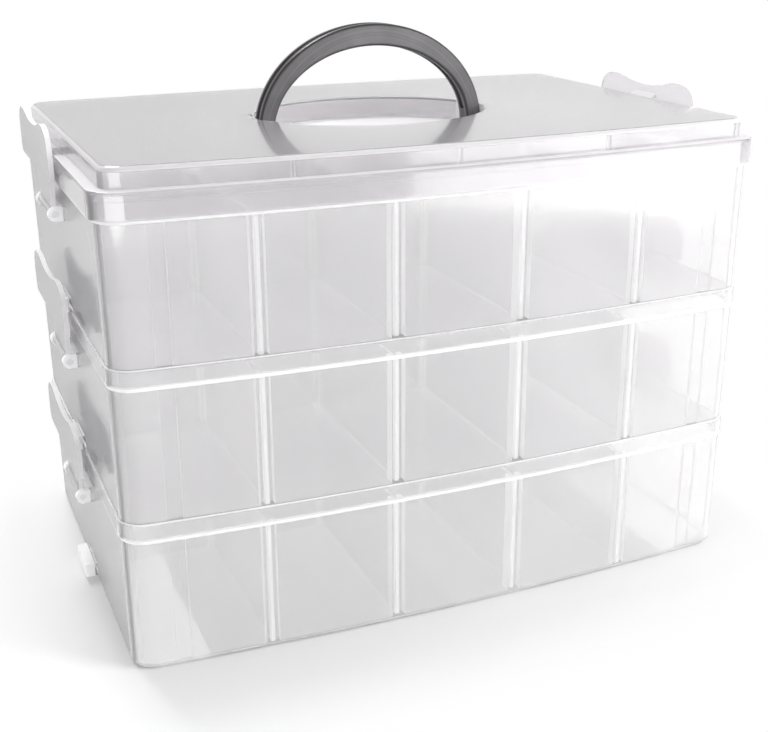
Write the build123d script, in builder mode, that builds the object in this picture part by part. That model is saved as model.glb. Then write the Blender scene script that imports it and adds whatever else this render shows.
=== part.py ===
import os
from math import sqrt

from build123d import *

# A box of three clear trays stacked under a clear lid. Millimetres, +Z up, origin on the
# floor under the middle of the box. X runs along the box, and each end carries three latches.

# Plan of the box, at the lid's skirt
length = 320.0
depth = 223.8
crown = 6.3
corner_radius = 14.0

# Heights within one tray, measured from its underside
foot_height = 2.2
floor_thickness = 2.4
band_height = 65.3
seam_height = 5.4
flare_height = 1.7
ledge_drop = 1.3
divider_drop = 1.0

# Walls and fits of a tray
skirt_wall = 1.2
skirt_gap = 0.3
rim_wall = 1.8
rim_bulge = 0.7
wall_draft = 0.4
wall_thickness = 2.0
foot_gap = 0.3
foot_round = 1.4
rim_round = 0.6

# Compartments
columns = 5
centre_wall = 1.8
divider_thickness = 1.6
divider_gap = 0.2
slot_rib = 2.2
rib_depth = 3.2
centre_rib_depth = 2.5
slot_floor = 0.5
divider_corner = 3.0
corner_rib_inset = 25.2
corner_rib_width = 7.2
corner_rib_depth = 1.0

# Lid
seat_ring_height = 2.3
plate_thickness = 1.8
step_round = 1.0
block_inset = 5.5
block_height = 9.0
block_wall = 1.8
block_round = 2.5
stiffener_spacing = 76.0
stiffener_width = 1.4
stiffener_depth = 1.6

# Handle
handle_half_span = 60.0
handle_rise = 51.0
handle_leg = 7.8
handle_crown = 10.6
handle_depth = 10.5
handle_fold_gap = 0.8
handle_side_gap = 0.8
handle_tail = 9.4
handle_edge_round = 1.5
groove_width = 4.6
groove_depth = 0.8
groove_end_gap = 0.8
spring_below_pivot = 3.3
trunnion_radius = 2.5
trunnion_length = 2.6
trunnion_clearance = 0.05
trunnion_end_gap = 0.3
well_depth = 11.0
well_wall = 1.6
well_round = 0.6
pivot_boss_wall = 3.0

# Latches, their pivots and their catches
latch_wall = 2.2
latch_half_width = 44.5
latch_top = 28.1
latch_dip = 24.7
latch_peak_y = 30.0
latch_shoulder = 16.5
latch_grip_bottom = 5.3
latch_neck_half_width = 22.0
latch_leg_half_width = 16.5
latch_corner = 4.0
pivot_drop = 14.0
pivot_out = 2.2
barrel_radius = 2.4
pin_radius = 1.6
pin_length = 3.2
pin_clearance = 0.05
ear_gap = 0.3
ear_width = 3.5
ear_radius = 3.2
catch_half_width = 12.0
catch_reach = 3.5
catch_bottom = 7.9
catch_top = 14.8
catch_round = 1.5
catch_gap = 0.6
hook_gap = 0.3
hook_reach = 2.4
hook_rise = 2.0
hook_tip = 1.2

# Worked-out sizes
rim_inset = skirt_wall + skirt_gap
rim_inner_inset = rim_inset + rim_wall
foot_inset = rim_inner_inset + foot_gap
wall_inset = rim_inset + rim_bulge
wall_inset_low = wall_inset + wall_draft
inner_inset = wall_inset + wall_thickness
tray_pitch = band_height + seam_height
flare_start = band_height - flare_height
inner_wall_top = band_height - ledge_drop
divider_top = inner_wall_top - divider_drop
rim_height = tray_pitch + foot_height
inner_length = length - 2 * inner_inset
column_pitch = inner_length / columns
slot_width = divider_thickness + 2 * divider_gap
rib_band = slot_width + 2 * slot_rib
divider_xs = [column_pitch * (i - columns / 2) for i in range(1, columns)]

tray_bases = {"bottom": 0.0, "middle": tray_pitch, "top": 2 * tray_pitch}
lid_bottom = 2 * tray_pitch + band_height
lid_seat = 2 * tray_pitch + rim_height
plate_under = lid_seat + seat_ring_height
step_top = plate_under + plate_thickness
lid_top = step_top + block_height
roof_under = lid_top - block_wall

pivot_x = length / 2 + pivot_out
catch_x = length / 2 + catch_reach
leg_inner_x = length / 2 + pivot_out - latch_wall / 2
plate_inner_x = catch_x + catch_gap


def front_y(x, inset):
    # Distance from the middle plane to the crowned front of an outline inset from the skirt.
    half_length = length / 2 - inset
    radius = (half_length**2 + crown**2) / (2 * crown)
    return depth / 2 - inset - radius + sqrt(radius**2 - x**2)


slot_line = front_y(max(divider_xs) + rib_band / 2, inner_inset) - slot_floor
rib_line = slot_line - rib_depth


def outline(inset, height):
    # The plan of the box: crowned front and back, straight ends and round corners.
    half_x = length / 2 - inset
    end_y = depth / 2 - crown - inset
    mid_y = depth / 2 - inset
    with BuildSketch(Plane.XY.offset(height)) as plan:
        with BuildLine():
            ThreePointArc((-half_x, -end_y), (0, -mid_y), (half_x, -end_y))
            Line((half_x, -end_y), (half_x, end_y))
            ThreePointArc((half_x, end_y), (0, mid_y), (-half_x, end_y))
            Line((-half_x, end_y), (-half_x, -end_y))
        make_face()
        fillet(plan.vertices(), corner_radius - inset)
    return plan.sketch


# Tray: foot, drafted wall, flared rim, catches low on both ends and ears for the latches.
with BuildPart() as tray:
    extrude(outline(foot_inset, 0), amount=foot_height)
    fillet(tray.faces().sort_by(Axis.Z)[0].edges(), foot_round)
    loft([outline(wall_inset_low, foot_height), outline(wall_inset, flare_start)])
    loft([outline(wall_inset, flare_start), outline(rim_inset, band_height)])
    extrude(outline(rim_inset, band_height), amount=rim_height - band_height)
    fillet(tray.faces().sort_by(Axis.Z)[-1].edges(), rim_round)

    # Catch and ears reach right through the box here, and the inside is cut out of them next.
    catch_base = band_height - tray_pitch + catch_bottom
    with BuildSketch(Plane.XY.offset(catch_base)):
        RectangleRounded(2 * catch_x, 2 * catch_half_width, catch_round)
    extrude(amount=catch_top - catch_bottom)
    ear_y = latch_leg_half_width + ear_gap + ear_width / 2
    pivot_height = band_height - pivot_drop
    with BuildSketch(Plane.XZ.offset(ear_y), Plane.XZ.offset(-ear_y)):
        with Locations((0, pivot_height)):
            SlotCenterToCenter(2 * pivot_x, 2 * ear_radius)
    extrude(amount=ear_width / 2, both=True)
    with BuildSketch(Plane.XZ):
        with Locations((-pivot_x, pivot_height), (pivot_x, pivot_height)):
            Circle(pin_radius + pin_clearance)
    extrude(amount=ear_y + ear_width, both=True, mode=Mode.SUBTRACT)

    # Two rows of compartments, with a rib pair for every divider edge.
    with BuildSketch(Plane.XY.offset(floor_thickness)):
        add(outline(inner_inset, 0))
        Rectangle(length, centre_wall, mode=Mode.SUBTRACT)
        outer_rib_y = (rib_line + depth / 2) / 2
        with Locations(*[(x, side * outer_rib_y) for x in divider_xs for side in (-1, 1)]):
            Rectangle(rib_band, depth / 2 - rib_line, mode=Mode.SUBTRACT)
        corner_rib_x = length / 2 - corner_rib_inset
        corner_rib_y = front_y(corner_rib_x + corner_rib_width / 2, inner_inset) - corner_rib_depth
        outer_rib_y = (corner_rib_y + depth / 2) / 2
        with Locations(*[(i * corner_rib_x, j * outer_rib_y) for i in (-1, 1) for j in (-1, 1)]):
            Rectangle(corner_rib_width, depth / 2 - corner_rib_y, mode=Mode.SUBTRACT)
        with Locations(*[(x, 0) for x in divider_xs]):
            Rectangle(rib_band, centre_wall + 2 * centre_rib_depth, mode=Mode.SUBTRACT)
        slot_middle = (slot_line + centre_wall / 2) / 2
        with Locations(*[(x, side * slot_middle) for x in divider_xs for side in (-1, 1)]):
            Rectangle(slot_width, slot_line - centre_wall / 2)
    extrude(amount=inner_wall_top - floor_thickness, mode=Mode.SUBTRACT)
    extrude(outline(inner_inset, inner_wall_top), amount=rim_height, mode=Mode.SUBTRACT)
    extrude(outline(rim_inner_inset, band_height), amount=rim_height, mode=Mode.SUBTRACT)

# Divider: a loose plate that stands on the floor between its ribs.
with BuildPart() as divider:
    with BuildSketch(Plane.YZ) as plate:
        near_y = centre_wall / 2 + divider_gap
        far_y = slot_line - divider_gap
        with Locations((-(near_y + far_y) / 2, floor_thickness)):
            Rectangle(far_y - near_y, divider_top - floor_thickness, align=(Align.CENTER, Align.MIN))
        fillet(plate.vertices().group_by(Axis.Y)[-1], divider_corner)
    extrude(amount=divider_thickness / 2, both=True)

# Handle: an arch of smoky plastic, thick at its crown, on two legs with outward trunnions.
pivot_z = lid_top - well_depth / 2
spring_z = pivot_z - spring_below_pivot
leg_middle = handle_half_span - handle_leg / 2
with BuildPart() as handle:
    with BuildSketch(Plane.XZ):
        with Locations((0, spring_z)):
            Ellipse(handle_half_span, handle_rise)
            Ellipse(handle_half_span - handle_leg, handle_rise - handle_crown, mode=Mode.SUBTRACT)
            Rectangle(
                2 * length,
                2 * handle_rise,
                align=(Align.CENTER, Align.MAX),
                mode=Mode.SUBTRACT,
            )
        with Locations((-leg_middle, spring_z), (leg_middle, spring_z)):
            Rectangle(
                handle_leg,
                handle_tail - spring_below_pivot,
                align=(Align.CENTER, Align.MAX),
            )
    extrude(amount=handle_depth / 2, both=True)
    fillet(handle.faces().filter_by(Axis.Y).edges(), handle_edge_round)

    # A shallow groove runs over the outside of the arch and one under its inside.
    inner_span = handle_half_span - handle_leg
    inner_rise = handle_rise - handle_crown
    with BuildSketch(Plane.XZ):
        with Locations((0, spring_z)):
            Ellipse(handle_half_span + groove_depth, handle_rise + groove_depth)
            Ellipse(handle_half_span - groove_depth, handle_rise - groove_depth, mode=Mode.SUBTRACT)
            Ellipse(inner_span + groove_depth, inner_rise + groove_depth)
            Ellipse(inner_span - groove_depth, inner_rise - groove_depth, mode=Mode.SUBTRACT)
        with Locations((0, pivot_z + trunnion_radius + groove_end_gap)):
            Rectangle(
                2 * length,
                2 * handle_rise,
                align=(Align.CENTER, Align.MAX),
                mode=Mode.SUBTRACT,
            )
    extrude(amount=groove_width / 2, both=True, mode=Mode.SUBTRACT)

    # The tails are round about the pivot's line, so that they turn in a small pocket.
    with BuildSketch(Plane.YZ):
        with Locations((0, pivot_z - handle_tail + handle_depth / 2)):
            Circle(handle_depth / 2)
            Rectangle(handle_depth, 2 * handle_rise, align=(Align.CENTER, Align.MIN))
    extrude(amount=length, both=True, mode=Mode.INTERSECT)
    for side in (-1, 1):
        with BuildSketch(Plane.YZ.offset(side * leg_middle)):
            with Locations((0, pivot_z)):
                Circle(trunnion_radius)
        extrude(amount=side * (handle_leg / 2 + trunnion_length))

# Lid: skirt over the top tray's rim, stepped in to a block with a well for the folded handle.
well_floor = lid_top - well_depth
well_half_length = handle_half_span + handle_side_gap
pocket_half_width = handle_tail + handle_side_gap
pocket_floor = pivot_z - handle_tail - handle_side_gap
pocket_inner_x = handle_half_span - handle_leg - handle_side_gap


def well_plan(height, margin):
    # The almond that the arch fills when it lies to the front or the back, squared at its tails.
    with BuildSketch(Plane.XY.offset(height)) as plan:
        for side, mode in ((-1, Mode.ADD), (1, Mode.INTERSECT)):
            with Locations((0, side * spring_below_pivot)):
                Ellipse(well_half_length + margin, handle_rise + handle_fold_gap + margin, mode=mode)
        Rectangle(2 * (well_half_length + margin), 2 * (pocket_half_width + margin))
    return plan.sketch


with BuildPart() as lid:
    extrude(outline(0, lid_bottom), amount=step_top - lid_bottom)
    fillet(lid.faces().sort_by(Axis.Z)[-1].edges(), step_round)
    extrude(outline(block_inset, step_top), amount=block_height)
    fillet(lid.faces().sort_by(Axis.Z)[-1].edges(), block_round)
    with BuildSketch(Plane.XY.offset(lid_bottom + catch_bottom)):
        RectangleRounded(2 * catch_x, 2 * catch_half_width, catch_round)
    extrude(amount=catch_top - catch_bottom)
    extrude(outline(skirt_wall, lid_bottom), amount=plate_under - lid_bottom, mode=Mode.SUBTRACT)
    extrude(
        outline(block_inset + block_wall, plate_under),
        amount=roof_under - plate_under,
        mode=Mode.SUBTRACT,
    )

    # A ring under the step sits on the rim of the top tray.
    with BuildSketch(Plane.XY.offset(lid_seat)):
        add(outline(rim_inset, 0))
        add(outline(rim_inner_inset, 0), mode=Mode.SUBTRACT)
    extrude(amount=plate_under - lid_seat)

    # Stiffeners stand inside the block's front and back walls.
    stiffener_xs = [-stiffener_spacing, 0, stiffener_spacing]
    with BuildSketch(Plane.XY.offset(plate_under)):
        for x in stiffener_xs:
            stiffener_y = front_y(x, block_inset + block_wall) - stiffener_depth / 2
            with Locations((x, -stiffener_y), (x, stiffener_y)):
                Rectangle(stiffener_width, stiffener_depth + block_wall)
    extrude(amount=roof_under - plate_under)

    # Well, pockets for the handle's tails and blind bores for its trunnions.
    with BuildSketch(Plane.XY.offset(well_floor - well_wall)):
        add(well_plan(0, well_wall))
        Rectangle(2 * (well_half_length + pivot_boss_wall), 2 * (pocket_half_width + well_wall))
    extrude(amount=roof_under - well_floor + well_wall)
    pocket_middle = (pocket_inner_x + well_half_length) / 2
    pocket_length = well_half_length - pocket_inner_x
    with BuildSketch(Plane.XY.offset(pocket_floor - well_wall)):
        with Locations((-pocket_middle, 0), (pocket_middle, 0)):
            Rectangle(pocket_length + 2 * well_wall, 2 * (pocket_half_width + well_wall))
    extrude(amount=well_floor - pocket_floor + well_wall)
    extrude(well_plan(well_floor, 0), amount=well_depth, mode=Mode.SUBTRACT)
    fillet(lid.faces().sort_by(Axis.Z)[-1].inner_wires().edges(), well_round)
    with BuildSketch(Plane.XY.offset(pocket_floor)):
        with Locations((-pocket_middle, 0), (pocket_middle, 0)):
            Rectangle(pocket_length, 2 * pocket_half_width)
    extrude(amount=well_floor - pocket_floor, mode=Mode.SUBTRACT)
    bore_depth = trunnion_length - handle_side_gap + trunnion_end_gap
    for side in (-1, 1):
        with BuildSketch(Plane.YZ.offset(side * well_half_length)):
            with Locations((0, pivot_z)):
                Circle(trunnion_radius + trunnion_clearance)
        extrude(amount=side * bore_depth, mode=Mode.SUBTRACT)

# Latch at the right end, with heights from the foot of the rim that it bridges.
with BuildPart() as latch:
    leg_outer_x = leg_inner_x + latch_wall
    plate_outer_x = plate_inner_x + latch_wall
    step_rise = plate_inner_x - leg_inner_x
    with BuildSketch(Plane.XZ):
        with BuildLine():
            Polyline(
                (leg_inner_x, -pivot_drop),
                (leg_outer_x, -pivot_drop),
                (leg_outer_x, latch_grip_bottom - step_rise),
                (plate_outer_x, latch_grip_bottom),
                (plate_outer_x, latch_top + latch_wall),
                (plate_inner_x, latch_top + latch_wall),
                (plate_inner_x, latch_grip_bottom + latch_wall / 2),
                (leg_inner_x, latch_grip_bottom + latch_wall / 2 - step_rise),
                close=True,
            )
        make_face()
    extrude(amount=latch_half_width, both=True)

    # Seen from the end: a leg that widens to a neck, and a grip with two rounded ears.
    with BuildSketch(Plane.YZ) as front:
        with BuildLine() as half:
            Line((0, -pivot_drop), (latch_leg_half_width, -pivot_drop))
            Line((latch_leg_half_width, -pivot_drop), (latch_leg_half_width, ear_radius - pivot_drop))
            Line(
                (latch_leg_half_width, ear_radius - pivot_drop),
                (latch_neck_half_width, latch_grip_bottom),
            )
            Line((latch_neck_half_width, latch_grip_bottom), (latch_half_width, latch_grip_bottom))
            Line((latch_half_width, latch_grip_bottom), (latch_half_width, latch_shoulder))
            Spline(
                (latch_half_width, latch_shoulder),
                (latch_peak_y, latch_top),
                (0, latch_dip),
                tangents=((0, 1), (-1, 0)),
            )
            mirror(about=Plane.YZ)
        make_face()
        grip_corners = front.vertices().group_by(Axis.X)[0] + front.vertices().group_by(Axis.X)[-1]
        fillet(grip_corners.group_by(Axis.Y)[0], latch_corner)
    extrude(amount=plate_outer_x, mode=Mode.INTERSECT)

    # Barrel and trunnions
    with BuildSketch(Plane.XZ):
        with Locations((pivot_x, -pivot_drop)):
            Circle(barrel_radius)
    extrude(amount=latch_leg_half_width, both=True)
    with BuildSketch(Plane.XZ):
        with Locations((pivot_x, -pivot_drop)):
            Circle(pin_radius)
    extrude(amount=latch_leg_half_width + pin_length, both=True)

    # Hook over the catch, with an underside that rises towards its tip
    hook_x = catch_x - hook_reach
    hook_z = catch_top + hook_gap
    with BuildSketch(Plane.XZ):
        with BuildLine():
            Polyline(
                (plate_inner_x, hook_z),
                (hook_x, hook_z + hook_rise),
                (hook_x, hook_z + hook_rise + hook_tip),
                (plate_inner_x, hook_z + hook_rise + hook_tip + hook_reach),
                (plate_inner_x + latch_wall / 2, hook_z + hook_rise + hook_tip + hook_reach),
                (plate_inner_x + latch_wall / 2, hook_z),
                close=True,
            )
        make_face()
    extrude(amount=catch_half_width - catch_round, both=True)

pieces = {"lid": lid.part, "handle": handle.part}
for name, base in tray_bases.items():
    with BuildPart(Plane.XY.offset(base)) as placed:
        add(tray.part)
    pieces[f"tray_{name}"] = placed.part
    for row, turn in (("front", 0), ("back", 180)):
        for number, x in enumerate(divider_xs, 1):
            with BuildPart() as placed:
                with Locations(Location((x, 0, base), (0, 0, turn))):
                    add(divider.part)
            pieces[f"divider_{name}_{row}_{number}"] = placed.part
    for end, turn in (("right", 0), ("left", 180)):
        with BuildPart() as placed:
            with Locations(Location((0, 0, base + band_height), (0, 0, turn))):
                add(latch.part)
        pieces[f"latch_{name}_{end}"] = placed.part

os.makedirs("parts", exist_ok=True)
for name, piece in pieces.items():
    piece.label = name
    export_step(piece, f"parts/{name}.step")
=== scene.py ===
from math import cos, pi, radians, sin

import bpy
from mathutils import Matrix, Vector


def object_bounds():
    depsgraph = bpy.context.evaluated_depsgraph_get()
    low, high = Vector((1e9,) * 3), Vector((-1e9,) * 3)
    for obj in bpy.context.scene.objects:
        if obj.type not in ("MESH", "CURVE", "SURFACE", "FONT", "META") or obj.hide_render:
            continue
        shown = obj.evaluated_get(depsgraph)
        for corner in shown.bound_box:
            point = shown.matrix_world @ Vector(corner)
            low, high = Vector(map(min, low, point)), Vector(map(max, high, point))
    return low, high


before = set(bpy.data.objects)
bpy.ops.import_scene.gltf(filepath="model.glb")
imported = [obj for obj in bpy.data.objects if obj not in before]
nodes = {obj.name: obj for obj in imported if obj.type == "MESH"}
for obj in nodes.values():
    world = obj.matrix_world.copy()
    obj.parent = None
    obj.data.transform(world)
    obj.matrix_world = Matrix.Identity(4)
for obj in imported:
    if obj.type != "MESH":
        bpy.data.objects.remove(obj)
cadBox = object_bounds()
print("frame loaded:", len(nodes), "nodes")


# A socket that can be used in sums, so that 1 - mask adds its own Math node
class Wire:
    def __init__(self, finish, socket):
        self.finish = finish
        self.socket = socket

    def __add__(self, other):
        return self.finish.math("ADD", self, other)

    def __radd__(self, other):
        return self.finish.math("ADD", other, self)

    def __sub__(self, other):
        return self.finish.math("SUBTRACT", self, other)

    def __rsub__(self, other):
        return self.finish.math("SUBTRACT", other, self)

    def __mul__(self, other):
        return self.finish.math("MULTIPLY", self, other)

    def __rmul__(self, other):
        return self.finish.math("MULTIPLY", other, self)

    def __gt__(self, other):
        return self.finish.math("GREATER_THAN", self, other)

    def __lt__(self, other):
        return self.finish.math("LESS_THAN", self, other)

    def __abs__(self):
        return self.finish.math("ABSOLUTE", self)

    def out(self, name):
        return Wire(self.finish, self.socket.node.outputs[name])


# The node tree of one material, or of the world
class Finish:
    def __init__(self, owner):
        owner.use_nodes = True
        self.owner = owner
        self.tree = owner.node_tree
        self.tree.nodes.clear()

    def node(self, kind, settings=None, sockets=None):
        made = self.tree.nodes.new(kind)
        for name, value in (settings or {}).items():
            if name == "stops":
                ramp = made.color_ramp.elements
                while len(ramp) < len(value):
                    ramp.new(1)
                for stop, (place, colour) in zip(ramp, value):
                    stop.position = place
                    stop.color = colour
            else:
                setattr(made, name, value)
        for name, value in (sockets or {}).items():
            if isinstance(value, Wire):
                self.tree.links.new(value.socket, made.inputs[name])
            else:
                made.inputs[name].default_value = value
        return Wire(self, made.outputs[0]) if made.outputs else None

    def math(self, operation, first, second=0):
        return self.node("ShaderNodeMath", {"operation": operation}, {0: first, 1: second})

    def vectorMath(self, operation, first, second=(0, 0, 0)):
        return self.node("ShaderNodeVectorMath", {"operation": operation}, {0: first, 1: second})

    def ramp(self, driver, stops):
        return self.node("ShaderNodeValToRGB", {"stops": stops}, {"Fac": driver})

    def noise(self, place, scale, detail=2):
        return self.node(
            "ShaderNodeTexNoise",
            None,
            {"Vector": place, "Scale": scale, "Detail": detail},
        )

    def bump(self, height, distance, strength=0.5):
        return self.node(
            "ShaderNodeBump",
            None,
            {"Height": height, "Distance": distance, "Strength": strength},
        )

    # From 0 at start to 1 at end, smoothly
    def rise(self, value, start, end):
        return self.node(
            "ShaderNodeMapRange",
            {"interpolation_type": "SMOOTHSTEP"},
            {"Value": value, "From Min": start, "From Max": end},
        )

    def mixColours(self, factor, first, second, how="MIX"):
        settings = {"data_type": "RGBA", "blend_type": how}
        return self.node("ShaderNodeMix", settings, {0: factor, 6: first, 7: second}).out(2)

    def mixShaders(self, factor, first, second):
        return self.node("ShaderNodeMixShader", None, {0: factor, 1: first, 2: second})

    def plastic(self, sockets):
        return self.node("ShaderNodeBsdfPrincipled", None, sockets)

    def close(self, shader):
        self.node("ShaderNodeOutputMaterial", None, {"Surface": shader})
        return self.owner


# Where a point of the surface lies and which way it faces, in the piece's own frame
class Spot:
    def __init__(self, finish):
        coords = finish.node("ShaderNodeTexCoord")
        self.place = coords.out("Object")
        place = finish.node("ShaderNodeSeparateXYZ", None, {0: self.place})
        facing = finish.node("ShaderNodeSeparateXYZ", None, {0: coords.out("Normal")})
        self.x, self.y, self.z = (place.out(axis) for axis in "XYZ")
        self.facingX, self.facingY, self.facingZ = (abs(facing.out(axis)) for axis in "XYZ")


def newMaterial(name):
    return Finish(bpy.data.materials.new(name))


def grey(level):
    return (level, level, level, 1)


# Milky moulded plastic: hazy and lightly tinted on its broad walls, with painted shade as dark
# lines at its upright corners and outlines, and painted highlights with a faint painted glow on
# rib sides, rims and the edges of plates. Each kind of piece adds its own tints.
milkyLook = {
    "flowScale": 9.0,  # slow changes of the tint
    "flowDetail": 3,
    "flowStops": (0.35, 0.65),
    "clearness": 0.74,
    "ior": 1.3,
    "roughness": 0.07,
    "haze": 0.08,
    "gloss": 1.0,
    "glossRoughness": 0.07,
    "endGloss": 0.42,  # gloss of the faces that look along the box
    "endFacing": 0.7,
    "grazeFrom": 0.4,
    "grazeColour": (0.96, 0.96, 0.965, 1),
    # Painted shade: the dark colour of outlines on walls seen edge-on and of lines at upright
    # corners
    "outline": (0.22, 0.22, 0.225, 1),
    "outlineFrom": 0.76,
    "outlineShade": 0.9,
    "cornerFrom": 0.89,
    "cornerTo": 0.975,
    "cornerShade": 0.5,
    "cornerBeyond": 0.14,  # only corners this far along the box
    # The edge keys set a painted highlight: whiter, nearly opaque plastic with a faint painted
    # glow
    "edgeColour": (0.985, 0.987, 0.989, 1),
    "edgeRoughness": 0.4,
    "edgeClearness": 0.15,
    "edgeWhite": 0.85,
    "edgeGlow": 0.12,
    "waveScale": 26.0,  # faint waves of the moulded faces
    "waveHeight": 0.0003,
}
# The lid's tint is greyer than the trays' as painted shade that holds its top down under the top
# lamp
lidLook = milkyLook | {
    "tint": (0.882, 0.866, 0.884, 1),
    "tintDark": (0.866, 0.85, 0.868, 1),
    "clearness": 0.84,
    "roughness": 0.16,
    "haze": 0.06,
    "gloss": 0.9,
    "glossRoughness": 0.08,
    "grazeColour": (1, 1, 1, 1),
    "outlineFrom": 0.85,
    "edgeColour": (0.8, 0.788, 0.8, 1),
    "waveHeight": 0.0001,
}
# Dividers get a whiter tint as painted light that brightens the inside of the trays
dividerLook = milkyLook | {
    "tint": (1, 1, 1, 1),
    "tintDark": (0.99, 0.99, 0.99, 1),
    "grazeColour": (1, 1, 1, 1),
    "outlineShade": 0.5,
}
# Latches get a greyer tint as painted shade of the box's ends
latchLook = milkyLook | {
    "clearness": 0.65,
    "tint": (0.94, 0.925, 0.94, 1),
    "tintDark": (0.905, 0.89, 0.905, 1),
    "edgeColour": (0.87, 0.855, 0.87, 1),
}
bottomTrayLook = milkyLook | {
    "tint": (1, 0.993, 1, 1),
    "tintDark": (0.987, 0.98, 0.987, 1),
}
middleTrayLook = milkyLook | {
    "tint": (1, 0.993, 1, 1),
    "tintDark": (0.996, 0.989, 0.996, 1),
}
# The top tray's tint is darker than the lower trays' as painted shade under the lid
topTrayLook = milkyLook | {
    "tint": (0.968, 0.96, 0.968, 1),
    "tintDark": (0.952, 0.944, 0.952, 1),
}


def makeMilkyPlastic(name, look, findEdges):
    finish = newMaterial(name)
    spot = Spot(finish)
    flow = finish.noise(spot.place, look["flowScale"], look["flowDetail"])
    darkStop, lightStop = look["flowStops"]
    tint = finish.ramp(flow, [(darkStop, look["tintDark"]), (lightStop, look["tint"])])
    # Painted shade: the tint darkens where a face is seen at a grazing angle
    slant = finish.node("ShaderNodeLayerWeight").out("Facing")
    graze = finish.rise(slant, look["grazeFrom"], 1)
    colour = finish.mixColours(graze, tint, look["grazeColour"], "MULTIPLY")
    waves = finish.bump(finish.noise(spot.place, look["waveScale"]), look["waveHeight"])
    ends = spot.facingX > look["endFacing"]
    body = finish.plastic({
        "Base Color": colour,
        "Roughness": look["roughness"] + look["haze"] * flow,
        "IOR": look["ior"],
        "Transmission Weight": look["clearness"],
        "Coat Weight": look["gloss"] - (look["gloss"] - look["endGloss"]) * ends,
        "Coat Roughness": look["glossRoughness"],
        "Normal": waves,
    })
    # Painted highlight with a faint painted glow, laid on the edges that findEdges returns
    paintedHighlight = finish.plastic({
        "Base Color": look["edgeColour"],
        "Roughness": look["edgeRoughness"],
        "IOR": look["ior"],
        "Transmission Weight": look["edgeClearness"],
        "Normal": waves,
        "Emission Color": look["edgeColour"],
        "Emission Strength": look["edgeGlow"],
    })
    # Painted shade: dark, nearly opaque plastic mixed in as outlines and as upright corner lines
    outline = finish.plastic({
        "Base Color": look["outline"],
        "Roughness": look["edgeRoughness"],
        "IOR": look["ior"],
        "Transmission Weight": look["edgeClearness"],
    })
    corner = (spot.facingX > look["cornerFrom"]) * (spot.facingX < look["cornerTo"])
    corner = corner * (abs(spot.x) > look["cornerBeyond"])
    turned = look["outlineShade"] * finish.rise(slant, look["outlineFrom"], 1)
    walls = finish.mixShaders(turned + look["cornerShade"] * corner, body, outline)
    paintedHighlightMask = look["edgeWhite"] * findEdges(spot)
    return finish.close(finish.mixShaders(paintedHighlightMask, walls, paintedHighlight))


# Edges of a tray, which get the painted highlight: the sides of its slot ribs, the level faces
# of its rim, the step under it, the flare below its rim, and the ears and catches on its ends.
# Heights are from its base.
trayEdges = {
    "flat": 0.9,
    "ribReach": 0.150,
    "rimFrom": 0.060,
    "step": 0.0022,
    "stepReach": 0.0001,
    "flare": 0.0645,
    "flareReach": 0.0009,
    "earsFrom": 0.1588,
}


def trayEdgeFinder(base):
    look = trayEdges

    def find(spot):
        level = spot.facingZ > look["flat"]
        ribSides = (spot.facingX > look["flat"]) * (abs(spot.x) < look["ribReach"])
        rimFaces = level * (spot.z > base + look["rimFrom"])
        step = level * (abs(spot.z - (base + look["step"])) < look["stepReach"])
        flare = abs(spot.z - (base + look["flare"])) < look["flareReach"]
        ears = abs(spot.x) > look["earsFrom"]
        return ribSides + rimFaces + step + flare + ears

    return find


# Edges of the dividers and latches, which get the painted highlight: all that doesn't look along
# the box
plateEdges = {"facing": 0.5}


def findPlateEdges(spot):
    return spot.facingX < plateEdges["facing"]


# Edges of the lid, which get the painted highlight: its step and lip, the floor of its well, the
# sides of its stiffeners and the round of its block
lidEdges = {
    "flat": 0.9,
    "ledgesTo": 0.2188,
    "stiffenerReach": 0.1,
    "roundFrom": 0.2249,
    "tilted": 0.2,
    "roundHighlight": 0.7,
}


def findLidEdges(spot):
    look = lidEdges
    ledges = (spot.facingZ > look["flat"]) * (spot.z < look["ledgesTo"])
    stiffeners = (spot.facingX > look["flat"]) * (abs(spot.x) < look["stiffenerReach"])
    tilted = (spot.facingZ > look["tilted"]) * (spot.facingZ < look["flat"])
    rounds = look["roundHighlight"] * tilted * (spot.z > look["roundFrom"])
    return ledges + stiffeners + rounds


# Smoky plastic of the handle: streaks that run along the arch, broken up by soft patches, and
# painted shade in its groove and as dark lines on its rounded edges
smokeLook = {
    "face": (0.18, 0.173, 0.18, 1),
    "faceDark": (0.088, 0.084, 0.088, 1),
    "groove": (0.035, 0.035, 0.037, 1),
    "grooveHalfWidth": 0.0023,
    "roundFrom": 0.0040,
    "roundFacing": 0.93,
    "ior": 1.49,
    "roughness": 0.26,
    "streakRoughness": 0.08,
    "clearness": 0.25,
    "archCentre": (0, 0, 0.208),
    "archPlane": (1, 0, 1),
    "streakScale": 900.0,
    "streakAcross": 0.2,
    "streakPart": 0.55,
    "patchScale": 60.0,
    "detail": 3,
    "stops": (0.36, 0.64),
}


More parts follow.
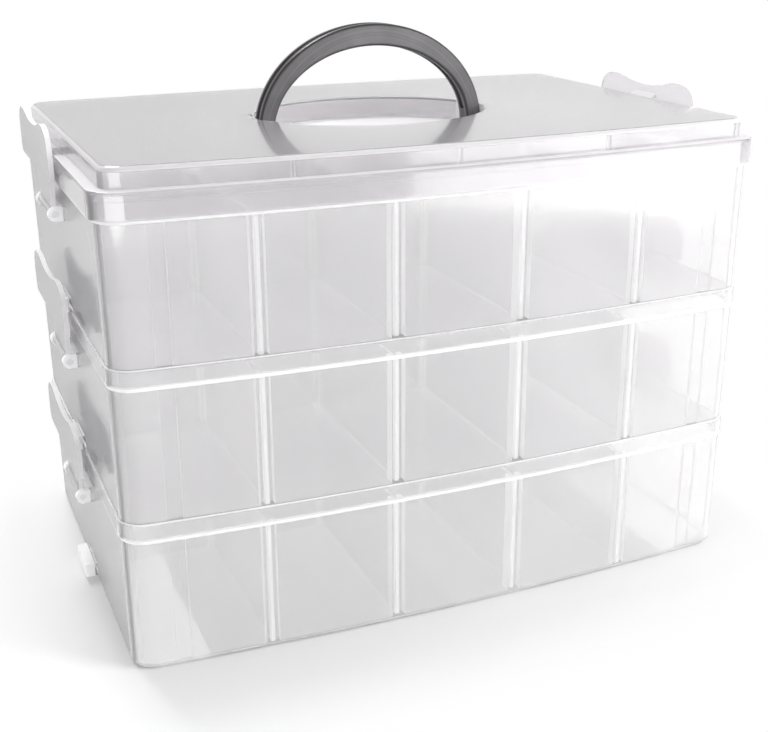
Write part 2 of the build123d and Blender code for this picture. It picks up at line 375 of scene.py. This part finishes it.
def makeSmokePlastic(name, look):
    finish = newMaterial(name)
    spot = Spot(finish)
    fromCentre = finish.vectorMath("SUBTRACT", spot.place, look["archCentre"])
    inPlane = finish.vectorMath("MULTIPLY", fromCentre, look["archPlane"])
    radius = finish.vectorMath("LENGTH", inPlane).out("Value")
    across = look["streakAcross"] * spot.y
    alongArch = finish.node("ShaderNodeCombineXYZ", None, {"X": radius, "Y": across})
    lines = finish.noise(alongArch, look["streakScale"], look["detail"])
    patches = finish.noise(spot.place, look["patchScale"], look["detail"])
    streaks = look["streakPart"] * lines + (1 - look["streakPart"]) * patches
    darkStop, lightStop = look["stops"]
    face = finish.ramp(streaks, [(darkStop, look["faceDark"]), (lightStop, look["face"])])
    # Painted shade: the groove and the rounded edges get the dark groove colour
    groove = abs(spot.y) < look["grooveHalfWidth"]
    rounds = (abs(spot.y) > look["roundFrom"]) * (spot.facingY < look["roundFacing"])
    return finish.close(finish.plastic({
        "Base Color": finish.mixColours(groove + rounds, face, look["groove"]),
        "Roughness": look["roughness"] + look["streakRoughness"] * streaks,
        "IOR": look["ior"],
        "Transmission Weight": look["clearness"],
    }))


# Each tray's look and the height of its base
trays = {
    "bottom": (bottomTrayLook, 0),
    "middle": (middleTrayLook, 0.0707),
    "top": (topTrayLook, 0.1414),
}
# Finishes by a node's name, or by the first word of it
finishes = {
    "lid": makeMilkyPlastic("lidPlastic", lidLook, findLidEdges),
    "handle": makeSmokePlastic("smokePlastic", smokeLook),
    "divider": makeMilkyPlastic("dividerPlastic", dividerLook, findPlateEdges),
    "latch": makeMilkyPlastic("latchPlastic", latchLook, findPlateEdges),
}
for level, (look, base) in trays.items():
    findEdges = trayEdgeFinder(base)
    finishes["tray_" + level] = makeMilkyPlastic("trayPlastic_" + level, look, findEdges)
for name, piece in nodes.items():
    piece.data.materials.clear()
    piece.data.materials.append(finishes.get(name) or finishes[name.split("_")[0]])
print("materials done:", len(finishes), "finishes")


# Paper floor: dimmer paper near the box, a painted shade that also keeps its real shadow, then
# plain white
stageLook = {
    "halfSize": 3.0,
    # Painted shade: the dimmer colour of the paper near the box
    "colour": 0.78,
    "lift": 0.03,  # added where the camera sees it
    "liftThrough": 0.1,  # added where it shows in gloss or through plastic
    "fadeFrom": 0.014,  # distance from the box
    "fadeTo": 0.075,
    "fadeGlow": 0.85,
}


def makeStage(look):
    finish = newMaterial("paper")
    path = finish.node("ShaderNodeLightPath")
    camera = path.out("Is Camera Ray")
    through = path.out("Is Glossy Ray") + path.out("Is Transmission Ray")
    coords = finish.node("ShaderNodeTexCoord").out("Object")
    place = finish.node("ShaderNodeSeparateXYZ", None, {0: coords})
    highX, highY, _ = cadBox[1]
    beyondX = finish.math("MAXIMUM", abs(place.out("X")) - highX, 0)
    beyondY = finish.math("MAXIMUM", abs(place.out("Y")) - highY, 0)
    reach = finish.math("SQRT", beyondX * beyondX + beyondY * beyondY)
    away = finish.rise(reach, look["fadeFrom"], look["fadeTo"])
    diffuse = finish.node("ShaderNodeBsdfDiffuse", None, {"Color": grey(look["colour"])})
    lift = look["lift"] * camera + look["liftThrough"] * through
    glow = finish.node("ShaderNodeEmission", None, {"Strength": lift})
    near = finish.node("ShaderNodeAddShader", None, {0: diffuse, 1: glow})
    plainWhite = look["fadeGlow"] + (1 - look["fadeGlow"]) * (camera + through)
    far = finish.node("ShaderNodeEmission", None, {"Strength": plainWhite})
    paper = finish.close(finish.mixShaders(away, near, far))

    half = look["halfSize"]
    corners = [(-half, -half, 0), (half, -half, 0), (half, half, 0), (-half, half, 0)]
    mesh = bpy.data.meshes.new("floor")
    mesh.from_pydata(corners, [], [(0, 1, 2, 3)])
    mesh.materials.append(paper)
    floor = bpy.data.objects.new("floor", mesh)
    bpy.context.scene.collection.objects.link(floor)


makeStage(stageLook)

# Lamps: glow is the brightness of the lamp's face. The cards only show in gloss, and the side
# lamp never does.
lampLook = {
    "card": {
        "place": (0.5, -0.74, 0.16),
        "aim": (0.06, -0.1, 0.16),
        "size": (0.5, 0.3),
        "glow": 3.2,
        "lights": False,
        "shines": True,
    },
    "leftCard": {
        "place": (-0.5, -0.62, 0.14),
        "aim": (-0.15, -0.1, 0.2),
        "size": (0.7, 0.2),
        "glow": 3.4,
        "lights": False,
        "shines": True,
    },
    "side": {
        "place": (0.6, -0.62, 0.48),
        "aim": (0.1, 0, 0.1),
        "size": (0.4, 0.4),
        "glow": 12.0,
        "lights": True,
        "shines": False,
    },
    "top": {
        "place": (-0.22, 0.8, 1.3),
        "aim": (0, 0, 0.1),
        "size": (0.45, 0.45),
        "glow": 20.0,
        "lights": True,
        "shines": True,
    },
}


def makeLamp(name, look):
    width, height = look["size"]
    light = bpy.data.lights.new(name, "AREA")
    light.shape = "RECTANGLE"
    light.size = width
    light.size_y = height
    light.energy = look["glow"] * pi * width * height
    lamp = bpy.data.objects.new(name, light)
    lamp.location = look["place"]
    away = Vector(look["place"]) - Vector(look["aim"])
    lamp.rotation_euler = away.to_track_quat("Z", "Y").to_euler()
    lamp.visible_camera = False
    lamp.visible_diffuse = look["lights"]
    lamp.visible_glossy = look["shines"]
    bpy.context.scene.collection.objects.link(lamp)


for lampName, look in lampLook.items():
    makeLamp(lampName, look)
print("floor and lamps done")

# The room is white to look at, and greyer overhead where gloss reflects it, more so to the left
roomLook = {
    "light": 0.8,
    "overheadLeft": 0.66,
    "overheadRight": 0.84,
    "leftAt": 0.1,
    "rightAt": 0.55,
    "whiteTo": 0.0,
    "greyFrom": 0.12,
}


def makeRoom(look):
    world = bpy.data.worlds.new("room")
    bpy.context.scene.world = world
    finish = Finish(world)
    path = finish.node("ShaderNodeLightPath")
    gloss = path.out("Is Glossy Ray")
    seen = path.out("Is Camera Ray") + gloss + path.out("Is Transmission Ray")
    coords = finish.node("ShaderNodeTexCoord").out("Generated")
    ray = finish.node("ShaderNodeSeparateXYZ", None, {0: coords})
    height = finish.rise(ray.out("Z"), look["whiteTo"], look["greyFrom"])
    toRight = finish.rise(ray.out("X"), look["leftAt"], look["rightAt"])
    left, right = look["overheadLeft"], look["overheadRight"]
    overhead = left + (right - left) * toRight
    level = look["light"] + (1 - look["light"]) * seen - (1 - overhead) * gloss * height
    air = finish.node("ShaderNodeBackground", None, {"Color": grey(1), "Strength": level})
    finish.node("ShaderNodeOutputWorld", None, {"Surface": air})


makeRoom(roomLook)

# Camera at the photograph's angle
cameraLook = {
    "place": (-0.2342, -0.5778, 0.3177),
    "turn": 22.64,
    "tilt": 20.10,
    "roll": -0.30,
    "lens": 57.28,
    "sensor": 36,
}


def makeCamera(look):
    turn, tilt, roll = (radians(look[k]) for k in ("turn", "tilt", "roll"))
    ahead = Vector((sin(turn) * cos(tilt), cos(turn) * cos(tilt), -sin(tilt)))
    right = Vector((cos(turn), -sin(turn), 0))
    up = right.cross(ahead)
    rightRolled = cos(roll) * right + sin(roll) * up
    upRolled = cos(roll) * up - sin(roll) * right
    data = bpy.data.cameras.new("camera")
    data.lens = look["lens"]
    data.sensor_width = look["sensor"]
    camera = bpy.data.objects.new("camera", data)
    turned = Matrix((rightRolled, upRolled, -ahead)).transposed().to_4x4()
    camera.matrix_world = Matrix.Translation(look["place"]) @ turned
    bpy.context.scene.collection.objects.link(camera)
    bpy.context.scene.camera = camera


makeCamera(cameraLook)
bpy.context.scene.view_settings.view_transform = "Standard"

# Light has to get through many walls of the stacked trays
bounces = {"all": 32, "through": 32, "diffuse": 8}
cycles = bpy.context.scene.cycles
cycles.max_bounces = bounces["all"]
cycles.transmission_bounces = bounces["through"]
cycles.diffuse_bounces = bounces["diffuse"]

print("scene ready")
